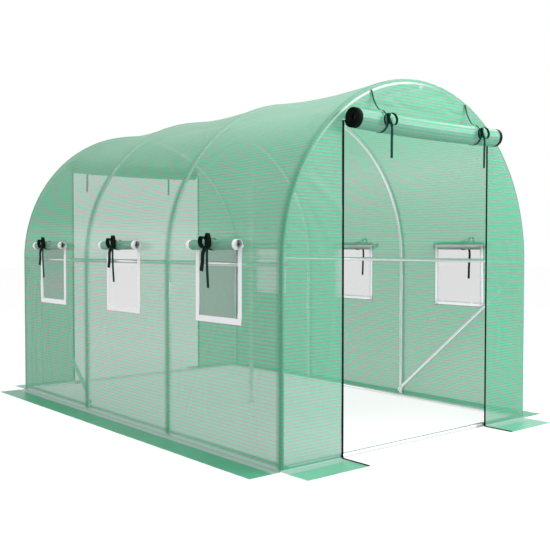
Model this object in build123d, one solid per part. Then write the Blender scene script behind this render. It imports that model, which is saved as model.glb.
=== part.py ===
from build123d import *
import os
from math import asin, atan2, cos, degrees, hypot, radians, sin

# A walk-in polytunnel greenhouse: four round-topped hoops of plug-together galvanised tube, tied by
# purlins, ground rails, two corner braces and a pole under the ridge, under a woven film cover with
# a zipped doorway in each end, three roll-up windows in each side and loose skirts on the ground.
# Lengths are millimetres and angles degrees. The origin is on the ground at the middle of the
# tunnel, +Y runs from the front doorway to the back one, and +Z is up.

# Overall size
tunnel_width = 2000.0
spring_height = 990.0
bay_length = 1000.0

# Tube and its plug-in joints
tube_diameter = 25.0
tube_wall = 1.0
tube_sides = 8
plug_length = 60.0
plug_clearance = 0.25
joint_gap = 1.0
rest_gap = 0.1

# Hoops
leg_joint_drop = 110.0
crown_angle = 60.0
hoop_names = ("front_hoop", "front_middle_hoop", "back_middle_hoop", "back_hoop")

# Braces
brace_foot_height = 52.0
brace_head_drop = 52.0
brace_inset = 6.0
paddle_thickness = 3.0
paddle_width = 30.0
paddle_reach = 16.0
paddle_length = 34.0
paddle_taper = 34.0
paddle_corner = 8.0

# Pole under the ridge
pole_foot_diameter = 50.0
pole_foot_thickness = 3.0
pole_joint_share = 0.5

# Cover
cover_thickness = 3.0
roof_sag = 24.0
roof_strips = 3
wall_top_angle = 12.0
roof_names = ("front_roof", "middle_roof", "back_roof")

# Skirts that lie on the ground
skirt_reach = 190.0
skirt_bend_radius = 28.0

# Doorways
door_width = 1200.0
door_height = 1720.0
zip_width = 12.0
zip_rise = 1.5
door_roll_diameter = 108.0
door_roll_length = 1200.0
door_roll_rise = 6.0
door_roll_rim = 9.0

# Windows
window_width = 410.0
window_height = 420.0
window_top_rise = 110.0
window_border = 32.0
screen_thickness = 1.0
window_roll_diameter = 60.0
window_roll_length = 444.0
window_roll_rise = 100.0

# Rolled fabric
roll_end_depth = 14.0
roll_seat_share = 0.5

# Tie tapes
tape_width = 12.0
tape_thickness = 1.5
bow_length = 46.0
bow_width = 26.0
bow_depth = 6.0
knot_size = 16.0
door_tie_places = (-352.0, 420.0)
door_tie_anchor_shift = -42.0
door_tail_drop = 190.0
window_tie_shift = 20.0
window_tail_drop = 170.0

# Sizes that follow from the ones above
tube_radius = tube_diameter / 2
roof_radius = tunnel_width / 2
cover_inside = roof_radius - cover_thickness
hoop_radius = cover_inside - tube_radius
inner_line = hoop_radius - tube_diameter - rest_gap
bay_count = len(hoop_names) - 1
hoop_places = [(i - bay_count / 2) * bay_length for i in range(bay_count + 1)]
bay_places = [place + bay_length / 2 for place in hoop_places[:-1]]
end_inside = hoop_places[-1] + tube_radius
end_outside = end_inside + cover_thickness
leg_joint_height = spring_height - leg_joint_drop
door_half = door_width / 2
door_roll_height = door_height + door_roll_rise
window_top = spring_height + window_top_rise
window_bottom = window_top - window_height
socket_diameter = tube_diameter - 2 * tube_wall
plug_diameter = socket_diameter - 2 * plug_clearance

half_turn = Rot(0, 0, 180)


def tube_section(diameter=tube_diameter):
    """The outline of a tube, with flats that touch its true circle from outside."""
    return RegularPolygon(diameter / 2, tube_sides, major_radius=False, rotation=180 / tube_sides)


def tube(length, diameter=tube_diameter):
    """A straight tube that stands on the origin along +Z."""
    return extrude(tube_section(diameter), length)


def joined_tube(length, plug=False, socket=False):
    """A straight tube with a plug drawn down on its top or a socket in its foot."""
    whole = tube(length)
    if plug:
        whole += Pos(0, 0, length) * tube(plug_length, plug_diameter)
    if socket:
        whole -= tube(plug_length, socket_diameter)
    return whole


def arc_tube(start, size, diameter=tube_diameter):
    """A tube bent round the roof axis, from the start angle, in the plane of a hoop."""
    section = Plane.XY * Pos(hoop_radius, 0) * tube_section(diameter)
    bent = revolve(section, Axis.Y, -size)
    return Pos(0, 0, spring_height) * Rot(0, -start, 0) * bent


def along_arc(length):
    """The angle that a length takes up along a hoop."""
    return degrees(length / hoop_radius)


def crown_tube():
    """The middle third of a hoop, with a plug at each end."""
    start = 90 - crown_angle / 2
    plug_angle = along_arc(plug_length)
    plug_start = arc_tube(start - plug_angle, plug_angle, plug_diameter)
    plug_end = arc_tube(start + crown_angle, plug_angle, plug_diameter)
    return arc_tube(start, crown_angle) + plug_start + plug_end


def shoulder_tube():
    """The right side piece of a hoop: a short straight foot, then the bend up to the crown."""
    bend = 90 - crown_angle / 2 - along_arc(joint_gap)
    foot_bottom = leg_joint_height + joint_gap
    foot = joined_tube(spring_height - foot_bottom, socket=True)
    socket_angle = along_arc(plug_length)
    socket = arc_tube(bend - socket_angle, 2 * socket_angle, socket_diameter)
    return Pos(hoop_radius, 0, foot_bottom) * foot + arc_tube(0, bend) - socket


def hoop_arch():
    shoulder = shoulder_tube()
    return [crown_tube(), shoulder, half_turn * shoulder]


def hoop_legs():
    leg = Pos(hoop_radius, 0, 0) * joined_tube(leg_joint_height, plug=True)
    return [leg, half_turn * leg]


def long_rail():
    """One tube per bay, plugged together just past each hoop, along +Y at the origin."""
    pieces = []
    bounds = [-end_inside] + [place + plug_length for place in hoop_places[1:-1]] + [end_inside]
    upright_to_y = Rot(-90, 0, 0)
    for i in range(bay_count):
        first, last = i == 0, i == bay_count - 1
        start = bounds[i] + (0 if first else joint_gap)
        piece = joined_tube(bounds[i + 1] - start, plug=not last, socket=not first)
        pieces.append(Pos(0, start, 0) * upright_to_y * piece)
    return pieces


def end_rail():
    """The rail across a doorway, in two tubes, with its ends cut to sit on the side rails."""
    joint = door_half + plug_length
    upright_to_x = Rot(0, 90, 0)
    first = Pos(-inner_line, 0, 0) * upright_to_x * joined_tube(inner_line + joint, plug=True)
    second_length = inner_line - joint - joint_gap
    second = upright_to_x * joined_tube(second_length, socket=True)
    second = Pos(joint + joint_gap, 0, 0) * second
    side_rail = Rot(90, 0, 0) * extrude(tube_section(), tube_diameter, both=True)
    first -= Pos(-inner_line, 0, 0) * side_rail
    second -= Pos(inner_line, 0, 0) * side_rail
    return [first, second]


def ridge_prop():
    """The pole that stands in the middle of the tunnel on a foot disc and carries the ridge pole."""
    top = spring_height + inner_line
    joint = top * pole_joint_share
    foot = Cylinder(pole_foot_diameter / 2, pole_foot_thickness)
    foot = Pos(0, 0, pole_foot_thickness / 2) * foot
    lower = Pos(0, 0, pole_foot_thickness) * joined_tube(joint - pole_foot_thickness, plug=True)
    upper = Pos(0, 0, joint + joint_gap) * joined_tube(top - joint - joint_gap, socket=True)
    ridge = Rot(90, 0, 0) * extrude(tube_section(), tube_diameter, both=True)
    upper -= Pos(0, 0, top) * ridge
    return [foot + lower, upper]


def paddle_end():
    """The end of a brace: crushed flat for its bolt, then swelling to the round tube above."""
    offset = tube_radius - paddle_thickness / 2
    crushed = (paddle_thickness / tube_diameter, paddle_width / tube_diameter, 1)
    flat = Pos(offset, 0) * scale(tube_section(), crushed)
    taper_start = paddle_length - paddle_reach
    body_start = taper_start + paddle_taper
    taper = loft([Pos(0, 0, taper_start) * flat, Pos(0, 0, body_start) * tube_section()], ruled=True)
    paddle = extrude(Pos(0, 0, -paddle_reach) * flat, paddle_length)
    half = paddle_width / 2
    clip = [
        (-half, taper_start),
        (-half, paddle_corner - paddle_reach),
        (paddle_corner - half, -paddle_reach),
        (half - paddle_corner, -paddle_reach),
        (half, paddle_corner - paddle_reach),
        (half, taper_start),
    ]
    outline = Plane.YZ * make_face(Polyline(*clip, close=True))
    return (paddle & extrude(outline, tube_diameter, both=True)) + taper


def brace():
    """A tube with both ends flattened into bolted paddles, on the inner side of the +X legs."""
    foot_y, head_y = hoop_places[1], hoop_places[0] + brace_inset
    foot_z = brace_foot_height
    head_z = spring_height - tube_diameter - brace_head_drop
    span = hypot(head_y - foot_y, head_z - foot_z)
    lean = degrees(atan2(foot_y - head_y, head_z - foot_z))
    body_start = paddle_length - paddle_reach + paddle_taper
    body = Pos(0, 0, body_start) * tube(span - 2 * body_start)
    other = Pos(0, 0, span) * Rot(180, 0, 0) * paddle_end()
    place = Pos(inner_line, foot_y, foot_z) * Rot(lean, 0, 0)
    return place * (paddle_end() + body + other)


def wall_profile(outside, thickness):
    """The curved strip of the left wall in the XZ plane, from the skirt up to the roof."""
    inside = outside - thickness
    top = radians(wall_top_angle)
    outline = (
        Line((-inside, skirt_bend_radius), (-outside, skirt_bend_radius)),
        Line((-outside, skirt_bend_radius), (-outside, spring_height)),
        CenterArc((0, spring_height), outside, 180, -wall_top_angle),
        Line(
            (-outside * cos(top), spring_height + outside * sin(top)),
            (-inside * cos(top), spring_height + inside * sin(top)),
        ),
        CenterArc((0, spring_height), inside, 180, -wall_top_angle),
        Line((-inside, spring_height), (-inside, skirt_bend_radius)),
    )
    return Plane.XZ * make_face(Curve() + outline)


def window_blocks(width, bottom, top):
    """One block through the left wall for each window."""
    height = top - bottom
    depth = 4 * door_roll_diameter
    block = Box(depth, width, height)
    return [Pos(-roof_radius, place, bottom + height / 2) * block for place in bay_places]


def left_wall_pieces():
    """The left wall with its window holes, and the border and screen that fill each hole."""
    wall = extrude(wall_profile(roof_radius, cover_thickness), end_inside, both=True)
    recess = (cover_thickness - screen_thickness) / 2
    film = extrude(wall_profile(roof_radius - recess, screen_thickness), end_inside, both=True)
    holes = window_blocks(window_width, window_bottom, window_top)
    clear_width = window_width - 2 * window_border
    clears = window_blocks(clear_width, window_bottom + window_border, window_top - window_border)
    borders = [(wall & hole) - clear for hole, clear in zip(holes, clears)]
    screens = [film & clear for clear in clears]
    for hole in holes:
        wall -= hole
    return [wall], borders, screens


def roof_section(place, sag):
    """The roof strip in the XZ plane at one place along the tunnel, its crown lowered by the sag."""
    rise = radians(wall_top_angle)
    lines = []
    for radius in (roof_radius, cover_inside):
        side, height = radius * cos(rise), spring_height + radius * sin(rise)
        crown = spring_height + radius - sag
        lines.append(((-side, height), (0, crown), (side, height)))
    outer, inner = lines
    outline = (
        ThreePointArc(*outer),
        Line(outer[2], inner[2]),
        ThreePointArc(*inner),
        Line(inner[0], outer[0]),
    )
    return Plane.XZ.offset(-place) * make_face(Curve() + outline)


def roof_bay(index):
    """The roof over one bay, tight on its hoops and slack between them."""
    start, end = hoop_places[index], hoop_places[index + 1]
    slack_start, slack_end = start + tube_radius, end - tube_radius
    if index == 0:
        start -= tube_radius
    if index == bay_count - 1:
        end += tube_radius
    sections = []
    for step in range(roof_strips + 1):
        share = step / roof_strips
        place = slack_start + share * (slack_end - slack_start)
        sections.append(roof_section(place, roof_sag * 4 * share * (1 - share)))
    slack = loft(sections, ruled=True)
    tight_start = extrude(roof_section(slack_start, 0), slack_start - start)
    tight_end = extrude(roof_section(end, 0), end - slack_end)
    return slack + tight_start + tight_end


def end_silhouette():
    """The whole outline of an end, above the bend of the skirt."""
    straight = spring_height - skirt_bend_radius
    lower = Pos(0, skirt_bend_radius + straight / 2) * Rectangle(tunnel_width, straight)
    upper = Pos(0, spring_height) * Circle(roof_radius)
    below = Pos(0, skirt_bend_radius - roof_radius) * Rectangle(3 * roof_radius, 2 * roof_radius)
    return lower + upper - below


def front_panels():
    """The front end cut into the panels beside the doorway and the one over it."""
    silhouette = end_silhouette()
    height = spring_height + roof_radius
    doorway = Pos(0, door_height / 2) * Rectangle(door_width, door_height)
    middle = Pos(0, height / 2) * Rectangle(door_width, height)
    side = Pos(-door_half - tunnel_width / 2, height / 2) * Rectangle(tunnel_width, height)
    plane = Plane.XZ.offset(end_inside)
    left = extrude(plane * (silhouette & side), cover_thickness)
    over = extrude(plane * ((silhouette & middle) - doorway), cover_thickness)
    right = mirror(left, Plane.YZ)
    return left, right, over


def bent_strip(thickness, height, reach):
    """A strip that comes down a wall and bends out along the ground: X is outwards, Y is up."""
    corner = skirt_bend_radius
    outline = (
        Line((0, corner), (0, height)),
        Line((0, height), (thickness, height)),
        Line((thickness, height), (thickness, corner)),
        CenterArc((corner, corner), corner - thickness, 180, 90),
        Line((corner, thickness), (reach, thickness)),
        Line((reach, thickness), (reach, 0)),
        Line((reach, 0), (corner, 0)),
        CenterArc((corner, corner), corner, 180, 90),
    )
    kept = [edge for edge in outline if edge.length > 1e-6]
    return make_face(Curve() + kept)


def skirt_strip():
    """The bend and the flap of a skirt, without the wall above."""
    corner = skirt_bend_radius
    reach = cover_thickness + skirt_reach
    outline = (
        Line((0, corner), (cover_thickness, corner)),
        CenterArc((corner, corner), corner - cover_thickness, 180, 90),
        Line((corner, cover_thickness), (reach, cover_thickness)),
        Line((reach, cover_thickness), (reach, 0)),
        Line((reach, 0), (corner, 0)),
        CenterArc((corner, corner), corner, 180, 90),
    )
    return make_face(Curve() + outline)


def left_skirt():
    plane = Plane(origin=(-cover_inside, 0, 0), x_dir=(-1, 0, 0), z_dir=(0, 1, 0))
    return extrude(plane * skirt_strip(), end_inside, both=True)


def front_skirt():
    """The two flaps below the panels beside the doorway."""
    plane = Plane(origin=(-door_half, -end_inside, 0), x_dir=(0, -1, 0), z_dir=(-1, 0, 0))
    left = extrude(plane * skirt_strip(), roof_radius - door_half)
    return [left, mirror(left, Plane.YZ)]


def front_zips():
    """The zip tapes down both edges of the doorway and out along the flaps."""
    thickness = cover_thickness + zip_rise
    reach = cover_thickness + skirt_reach
    height = door_roll_height - roll_seat_half(door_roll_diameter) - joint_gap
    origin = (zip_width - door_half, -end_inside, 0)
    plane = Plane(origin=origin, x_dir=(0, -1, 0), z_dir=(-1, 0, 0))
    left = extrude(plane * bent_strip(thickness, height, reach), zip_width)
    return [left, mirror(left, Plane.YZ)]


def roll_seat_half(diameter):
    """Half the height of the flattened back of a roll."""
    return diameter / 4 * roll_seat_share


def fabric_roll(diameter, length, rim=0):
    """A rolled panel along +X whose flattened back, towards +Y, seats on the wall behind."""
    radius = diameter / 2
    roll = Rot(0, 90, 0) * Cylinder(radius, length)
    roll += Pos(0, radius / 2, 0) * Box(length, radius, 2 * roll_seat_half(diameter))
    if rim:
        dish = Rot(0, 90, 0) * Cylinder(radius - rim, 2 * roll_end_depth)
        roll -= Pos(-length / 2, 0, 0) * dish
        roll -= Pos(length / 2, 0, 0) * dish
    return roll


def bow_loop():
    """One flat loop of a bow, pointing along +X from its knot."""
    outline = [(0, 0), (bow_length, bow_width / 2), (bow_length, -bow_width / 2)]
    face = make_face(Polyline(*outline, close=True))
    return face - offset(face, -2 * tape_thickness)


def bow_tie(roll_diameter, tail_drop, tail_shift):
    """A tape round a roll along +X, tied at the front in a bow whose two tails hang down."""
    radius = roll_diameter / 2
    band = tube_section(roll_diameter + 2 * tape_thickness) - tube_section(roll_diameter)
    band -= Pos(2 * radius, 0) * Rectangle(2 * radius, 4 * radius)
    tie = extrude(Plane.YZ * band, tape_width / 2, both=True)
    front = Plane.XZ.offset(radius)
    for side in (0, 180):
        loop = Rot(0, 0, side - 12) * bow_loop()
        tie += extrude(front * loop, bow_depth)
    tie += extrude(front * Rectangle(knot_size, knot_size), bow_depth)
    for shift, drop in ((-tail_shift, tail_drop * 0.7), (tail_shift * 0.4, tail_drop)):
        tail = Pos(shift, -drop / 2) * Rectangle(tape_width, drop)
        tie += extrude(front * tail, 2 * tape_thickness)
    return tie


def door_roll_place():
    return Pos(0, -end_outside - door_roll_diameter / 2, door_roll_height)


def door_ties():
    """The tapes that hang from the hoop edge and hold the rolled door."""
    ties = []
    strap_foot = door_roll_height + roll_seat_half(door_roll_diameter) + tape_width / 2
    for place in door_tie_places:
        anchor_x = place + door_tie_anchor_shift
        anchor_z = spring_height + (roof_radius**2 - anchor_x**2) ** 0.5
        rise = anchor_z - strap_foot
        lean = degrees(atan2(door_tie_anchor_shift, rise))
        length = hypot(door_tie_anchor_shift, rise) - tape_width
        strap = Pos(0, -tape_thickness / 2, length / 2) * Box(tape_width, tape_thickness, length)
        strap = Pos(place, -end_outside, strap_foot) * Rot(0, lean, 0) * strap
        bow = bow_tie(door_roll_diameter, door_tail_drop, tape_width)
        ties.append(strap + door_roll_place() * Pos(place, 0, 0) * bow)
    return ties


def window_roll_place():
    """Where the rolled flap of a window rests against the foot of the roof bend."""
    reach = roof_radius + window_roll_diameter / 2
    lean = degrees(asin(window_roll_rise / reach))
    return Pos(0, 0, spring_height) * Rot(0, lean, 0) * Pos(-reach, 0, 0) * Rot(0, 0, -90)


def left_window_rolls():
    roll = window_roll_place() * fabric_roll(window_roll_diameter, window_roll_length)
    return [Pos(0, place, 0) * roll for place in bay_places]


def left_window_ties():
    tie = window_roll_place() * bow_tie(window_roll_diameter, window_tail_drop, tape_width)
    return [Pos(0, place + window_tie_shift, 0) * tie for place in bay_places]


def turned(shapes):
    """The same pieces on the opposite side or end of the tunnel."""
    return [half_turn * shape for shape in shapes]


def moved(shapes, place):
    return [place * shape for shape in shapes]


def build():
    """Every node of the greenhouse by name, each a list of its solids."""
    nodes = {}
    arch, legs = hoop_arch(), hoop_legs()
    for name, place in zip(hoop_names, hoop_places):
        nodes[name + "_arch"] = moved(arch, Pos(0, place, 0))
        nodes[name + "_legs"] = moved(legs, Pos(0, place, 0))

    rail = long_rail()
    nodes["ridge_pole"] = moved(rail, Pos(0, 0, spring_height + inner_line))
    nodes["left_purlin"] = moved(rail, Pos(-inner_line, 0, spring_height))
    nodes["right_purlin"] = moved(rail, Pos(inner_line, 0, spring_height))
    nodes["left_ground_rail"] = moved(rail, Pos(-inner_line, 0, tube_radius))
    nodes["right_ground_rail"] = moved(rail, Pos(inner_line, 0, tube_radius))
    front_rail = moved(end_rail(), Pos(0, hoop_places[0], tube_radius))
    nodes["front_ground_rail"] = front_rail
    nodes["back_ground_rail"] = turned(front_rail)

    front_brace = [brace()]
    nodes["front_brace"] = front_brace
    nodes["back_brace"] = turned(front_brace)
    nodes["ridge_prop"] = ridge_prop()

    wall, borders, screens = left_wall_pieces()
    rolls, ties = left_window_rolls(), left_window_ties()
    left_side = {
        "wall": wall,
        "window_borders": borders,
        "window_screens": screens,
        "window_rolls": rolls,
        "skirt": [left_skirt()],
    }
    for name, shapes in left_side.items():
        nodes["left_" + name] = shapes
        nodes["right_" + name] = turned(shapes)
    nodes["window_ties"] = ties + turned(ties)

    for index, name in enumerate(roof_names):
        nodes[name] = [roof_bay(index)]

    left_panel, right_panel, over_panel = front_panels()
    door_roll = fabric_roll(door_roll_diameter, door_roll_length, door_roll_rim)
    front_end = {
        "left_panel": [left_panel],
        "right_panel": [right_panel],
        "over_door_panel": [over_panel],
        "skirt": front_skirt(),
        "door_zips": front_zips(),
        "door_roll": [door_roll_place() * door_roll],
    }
    other_side = {"left_panel": "right_panel", "right_panel": "left_panel"}
    for name, shapes in front_end.items():
        nodes["front_" + name] = shapes
        nodes["back_" + other_side.get(name, name)] = turned(shapes)
    ties = door_ties()
    nodes["door_ties"] = ties + turned(ties)
    return nodes


def solids_of(shapes):
    return [solid for shape in shapes for solid in shape.solids()]


os.makedirs("parts", exist_ok=True)
for node, shapes in build().items():
    export_step(Compound(children=solids_of(shapes)), f"parts/{node}.step")
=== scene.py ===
from math import atan2, cos, pi, radians, sin, sqrt

import bpy
import numpy as np
from mathutils import Matrix, Vector


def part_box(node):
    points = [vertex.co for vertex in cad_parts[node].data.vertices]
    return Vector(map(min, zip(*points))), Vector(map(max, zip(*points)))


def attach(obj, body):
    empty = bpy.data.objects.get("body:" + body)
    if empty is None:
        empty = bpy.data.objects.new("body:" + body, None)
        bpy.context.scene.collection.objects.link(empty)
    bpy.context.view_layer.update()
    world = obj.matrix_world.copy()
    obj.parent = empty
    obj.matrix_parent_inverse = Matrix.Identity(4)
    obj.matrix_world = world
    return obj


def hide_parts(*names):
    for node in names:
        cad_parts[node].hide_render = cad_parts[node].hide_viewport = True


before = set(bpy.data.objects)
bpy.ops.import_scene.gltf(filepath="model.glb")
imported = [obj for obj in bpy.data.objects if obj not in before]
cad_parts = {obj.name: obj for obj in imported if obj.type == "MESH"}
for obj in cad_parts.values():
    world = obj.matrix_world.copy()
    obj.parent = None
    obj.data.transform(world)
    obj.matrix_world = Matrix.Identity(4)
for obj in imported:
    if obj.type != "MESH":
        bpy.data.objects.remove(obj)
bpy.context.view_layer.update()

# The looks of a walk-in polytunnel greenhouse. Lengths are metres, in the frame of the solids:
# +X right seen from the front, +Y from the front doorway to the back one, +Z up.

# Sizes read from the solids
COVER_OUT = -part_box("left_wall")[0].x
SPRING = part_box("front_roof")[1].z - COVER_OUT
HOOP_NAMES = ("front_hoop", "front_middle_hoop", "back_middle_hoop", "back_hoop")
HOOPS = [sum(corner.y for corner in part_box(name + "_arch")) / 2 for name in HOOP_NAMES]
BAYS = [(a + b) / 2 for a, b in zip(HOOPS, HOOPS[1:])]
panel_low, panel_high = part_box("front_left_panel")
END_OUT = -panel_low.y
DOOR_HALF = -panel_high.x
DOOR_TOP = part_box("front_over_door_panel")[0].z
FILM_GAUGE = 0.003
FILM_RADIUS = COVER_OUT - FILM_GAUGE / 2
FILM_END = END_OUT - FILM_GAUGE / 2
ROOF_START = radians(12)
SIDES = ((-1, "left"), (1, "right"))
ENDS = ((-1, "front"), (1, "back"))

# Tube
TUBE = 0.0125
TUBE_SIDES = 20
arch_low, arch_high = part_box("front_hoop_arch")
HOOP_RADIUS = arch_high.x - TUBE
LEG_JOINT = arch_low.z
RAIL_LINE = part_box("right_purlin")[1].x - TUBE
BRACE_DROP = 0.052
BRACE_HEAD_INSET = 0.006

# Skirts, whose film bends out of the wall on to the ground
FLAP_Z = FILM_GAUGE / 2
BEND = 0.008
FLAP = -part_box("left_skirt")[0].x - FILM_RADIUS - BEND
SKIRT_LENGTH = FLAP + BEND * pi / 2
WALL_LENGTH = SPRING - FLAP_Z - BEND

# Girth places, measured along the cover from the hem of its left skirt
SPRING_GIRTH = SKIRT_LENGTH + WALL_LENGTH
ROOF_GIRTH = SPRING_GIRTH + FILM_RADIUS * ROOF_START
WHOLE_GIRTH = 2 * SPRING_GIRTH + FILM_RADIUS * pi

# The cover's rounded edge at each end, its sag between hoops and its mesh
EDGE = 0.012
STRAIGHT_HALF = FILM_END - EDGE
EDGE_TURN = np.linspace(0, EDGE * pi / 2, 7)[1:]
SAG = 0.024
FILM_STEP = 0.0125
PANEL_RADIUS = FILM_RADIUS - EDGE
SEAM_RADIUS = FILM_RADIUS - 0.0235

# Windows, whose tape laps over the edge of the hole in the film
OVERLAP = 0.006
SCREEN_LAP = 0.01
border_low, border_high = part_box("left_window_borders")
screen_low, screen_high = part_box("left_window_screens")
WINDOW_HALF = border_high.y - BAYS[-1]
CLEAR_HALF = screen_high.y - BAYS[-1]
WINDOW_BOTTOM, WINDOW_TOP = border_low.z, border_high.z
CLEAR_BOTTOM, CLEAR_TOP = screen_low.z, screen_high.z
roll_low, roll_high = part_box("left_window_rolls")
WINDOW_ROLL = (roll_high.z - roll_low.z) / 2
WINDOW_ROLL_Z = (roll_high.z + roll_low.z) / 2
WINDOW_ROLL_X = -roll_low.x - WINDOW_ROLL
WINDOW_ROLL_LENGTH = (roll_high.y - BAYS[-1]) * 2

# Rolled doors, each a little short at one end
door_low, door_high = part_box("front_door_roll")
DOOR_ROLL = (door_high.z - door_low.z) / 2
DOOR_ROLL_Z = (door_high.z + door_low.z) / 2
DOOR_ROLL_Y = abs(door_low.y + door_high.y) / 2
DOOR_ROLL_GAP = 0.015
DOOR_ROLL_LENGTH = door_high.x - door_low.x - DOOR_ROLL_GAP
TIE_PLACES = (-0.382, 0.390)
TIE_SHIFT = -0.011

random = np.random.default_rng(7)


# Mesh helpers
def add_to_scene(name, data):
    thing = bpy.data.objects.new(name, data)
    bpy.context.scene.collection.objects.link(thing)
    return thing


def add_piece(name, mesh, *materials):
    for material in materials:
        mesh.materials.append(material)
    return add_to_scene(name, mesh)


def finish_piece(piece, slot, *nodes):
    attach(piece, "root")
    if nodes:
        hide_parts(*nodes)


def make_mesh(name, points, faces, uv=None, normals=None, smooth=True, marks=None):
    """A mesh from arrays: uv holds a place in metres for each point, marks a number for each point, kept as
    the painted shade of a skirt's flap.
    """
    mesh = bpy.data.meshes.new(name)
    mesh.from_pydata(np.asarray(points).tolist(), [], np.asarray(faces).tolist())
    loops = np.zeros(len(mesh.loops), np.int32)
    mesh.loops.foreach_get("vertex_index", loops)
    if uv is not None:
        layer = mesh.uv_layers.new(name="thread")
        layer.data.foreach_set("uv", np.asarray(uv, np.float32)[loops].ravel())
    if marks is not None:
        attribute = mesh.attributes.new("flap_shade", "FLOAT", "POINT")
        attribute.data.foreach_set("value", np.asarray(marks, np.float32))
    if smooth:
        mesh.shade_smooth()
    if normals is not None:
        mesh.normals_split_custom_set_from_vertices(np.asarray(normals).tolist())
    mesh.update()
    return mesh


def grid_faces(rows, columns, keep=None):
    """Quads over a grid of points in row order, or only those that keep allows."""
    index = np.arange(rows * columns).reshape(rows, columns)
    quads = np.stack([index[:-1, :-1], index[:-1, 1:], index[1:, 1:], index[1:, :-1]], -1)
    return quads[keep] if keep is not None else quads.reshape(-1, 4)


def ring_faces(count, sides):
    """Faces of a closed form made of rings: quads between them, and a cap on each end."""
    faces = []
    for start in range(0, (count - 1) * sides, sides):
        for i in range(sides):
            k = (i + 1) % sides
            faces.append((start + i, start + k, start + sides + k, start + sides + i))
    faces.append(tuple(reversed(range(sides))))
    faces.append(tuple(range((count - 1) * sides, count * sides)))
    return faces


def drop_unused(faces, *others):
    """Faces on renumbered points, and each array of points without those that no face uses."""
    used, faces = np.unique(faces, return_inverse=True)
    return [faces.reshape(-1, 4)] + [other[used] for other in others]


def slope_normals(point, u, v):
    """Unit normals of a surface point(u, v), from its slope a little way to each side."""
    near = 0.002
    along_u = point(u + near, v) - point(u - near, v)
    along_v = point(u, v + near) - point(u, v - near)
    normals = np.cross(along_u, along_v)
    return normals / np.maximum(np.linalg.norm(normals, axis=-1, keepdims=True), 1e-12)


def steps(step, *stops):
    """Places from the first stop to the last, evenly spaced between stops, each stop among them."""
    parts = [np.array([stops[0]])]
    for a, b in zip(stops, stops[1:]):
        count = max(1, int(round(abs(b - a) / step)))
        parts.append(np.linspace(a, b, count + 1)[1:])
    return np.concatenate(parts)


# Cover surface
def skirt_bend(place):
    """Distance out from the wall, height and turn of a skirt's film, from its hem to its top."""
    turn = np.clip((place - FLAP) / BEND, 0, pi / 2)
    out = BEND * (1 - np.sin(turn)) + np.clip(FLAP - place, 0, None)
    return out, FLAP_Z + BEND * (1 - np.cos(turn)), turn


def section(girth):
    """X, Z and the outward normal of the cover's cross-section at each girth place."""
    side = np.where(girth <= WHOLE_GIRTH / 2, -1.0, 1.0)
    place = np.minimum(girth, WHOLE_GIRTH - girth)
    out, height, turn = skirt_bend(place)
    rise = np.clip(place - SKIRT_LENGTH, 0, WALL_LENGTH)
    angle = np.clip((place - SPRING_GIRTH) / FILM_RADIUS, 0, pi / 2)
    arched = angle > 0
    x = np.where(arched, FILM_RADIUS * np.cos(angle), FILM_RADIUS + out)
    z = np.where(arched, SPRING + FILM_RADIUS * np.sin(angle), height + rise)
    across = np.where(arched, np.cos(angle), np.sin(turn))
    up = np.where(arched, np.sin(angle), np.cos(turn))
    return side * x, z, side * across, up


def girth_at(z, side=-1):
    """The girth place on a wall at a height above the skirt's bend."""
    if z <= SPRING:
        place = SKIRT_LENGTH + z - FLAP_Z - BEND
    else:
        place = SPRING_GIRTH + FILM_RADIUS * np.arcsin((z - SPRING) / FILM_RADIUS)
    return place if side < 0 else WHOLE_GIRTH - place


def girth_range(low, high, side):
    return sorted((girth_at(low, side), girth_at(high, side)))


def bay_share(y):
    """How far along its bay each place is, from 0 at one hoop's side to 1 at the next's."""
    share = np.zeros_like(y)
    for a, b in zip(HOOPS, HOOPS[1:]):
        inside = (y >= a) & (y <= b)
        share = np.where(inside, np.clip((y - a - TUBE) / (b - a - 2 * TUBE), 0, 1), share)
    return share


def fold_field(u, v, folds):
    """Summed height of folds, each (u, v, heading, half length, width, height)."""
    total = np.zeros_like(u)
    for at_u, at_v, heading, reach, width, height in folds:
        du, dv = u - at_u, v - at_v
        along = du * cos(heading) + dv * sin(heading)
        across = dv * cos(heading) - du * sin(heading)
        off = (across - 0.12 * along * along / reach) / width
        shape = np.exp(-off ** 2) * np.exp(-(along / reach) ** 4)
        total += height * shape * (1 - 0.5 * off ** 2)
    return total


def scattered(count, u_range, v_range, heading, spread, reach, width, height):
    """Folds at seeded places that run about one heading."""
    return [
        (
            random.uniform(*u_range),
            random.uniform(*v_range),
            heading + random.normal(0, spread),
            random.uniform(*reach),
            random.uniform(*width),
            random.uniform(*height) * random.choice((-1, 1)),
        )
        for _ in range(count)
    ]


def hoop_folds():
    """Tension folds that fan out from each hoop over the roof."""
    folds = []
    for place in HOOPS:
        for side in (-1, 1):
            if abs(place + side * 0.2) > HOOPS[-1]:
                continue
            for share in np.linspace(0.12, 0.88, 13):
                reach = random.uniform(0.06, 0.17)
                lean = radians(random.uniform(14, 50)) * (1 if share < 0.5 else -1)
                middle = ROOF_GIRTH + share * (WHOLE_GIRTH - 2 * ROOF_GIRTH)
                middle += random.uniform(-0.05, 0.05)
                away = place + side * (0.03 + reach * abs(cos(lean)))
                height = random.uniform(0.001, 0.0034) * random.choice((-1, 1))
                folds.append((away, middle, side * lean, reach, random.uniform(0.018, 0.042), height))
    return folds


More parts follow.
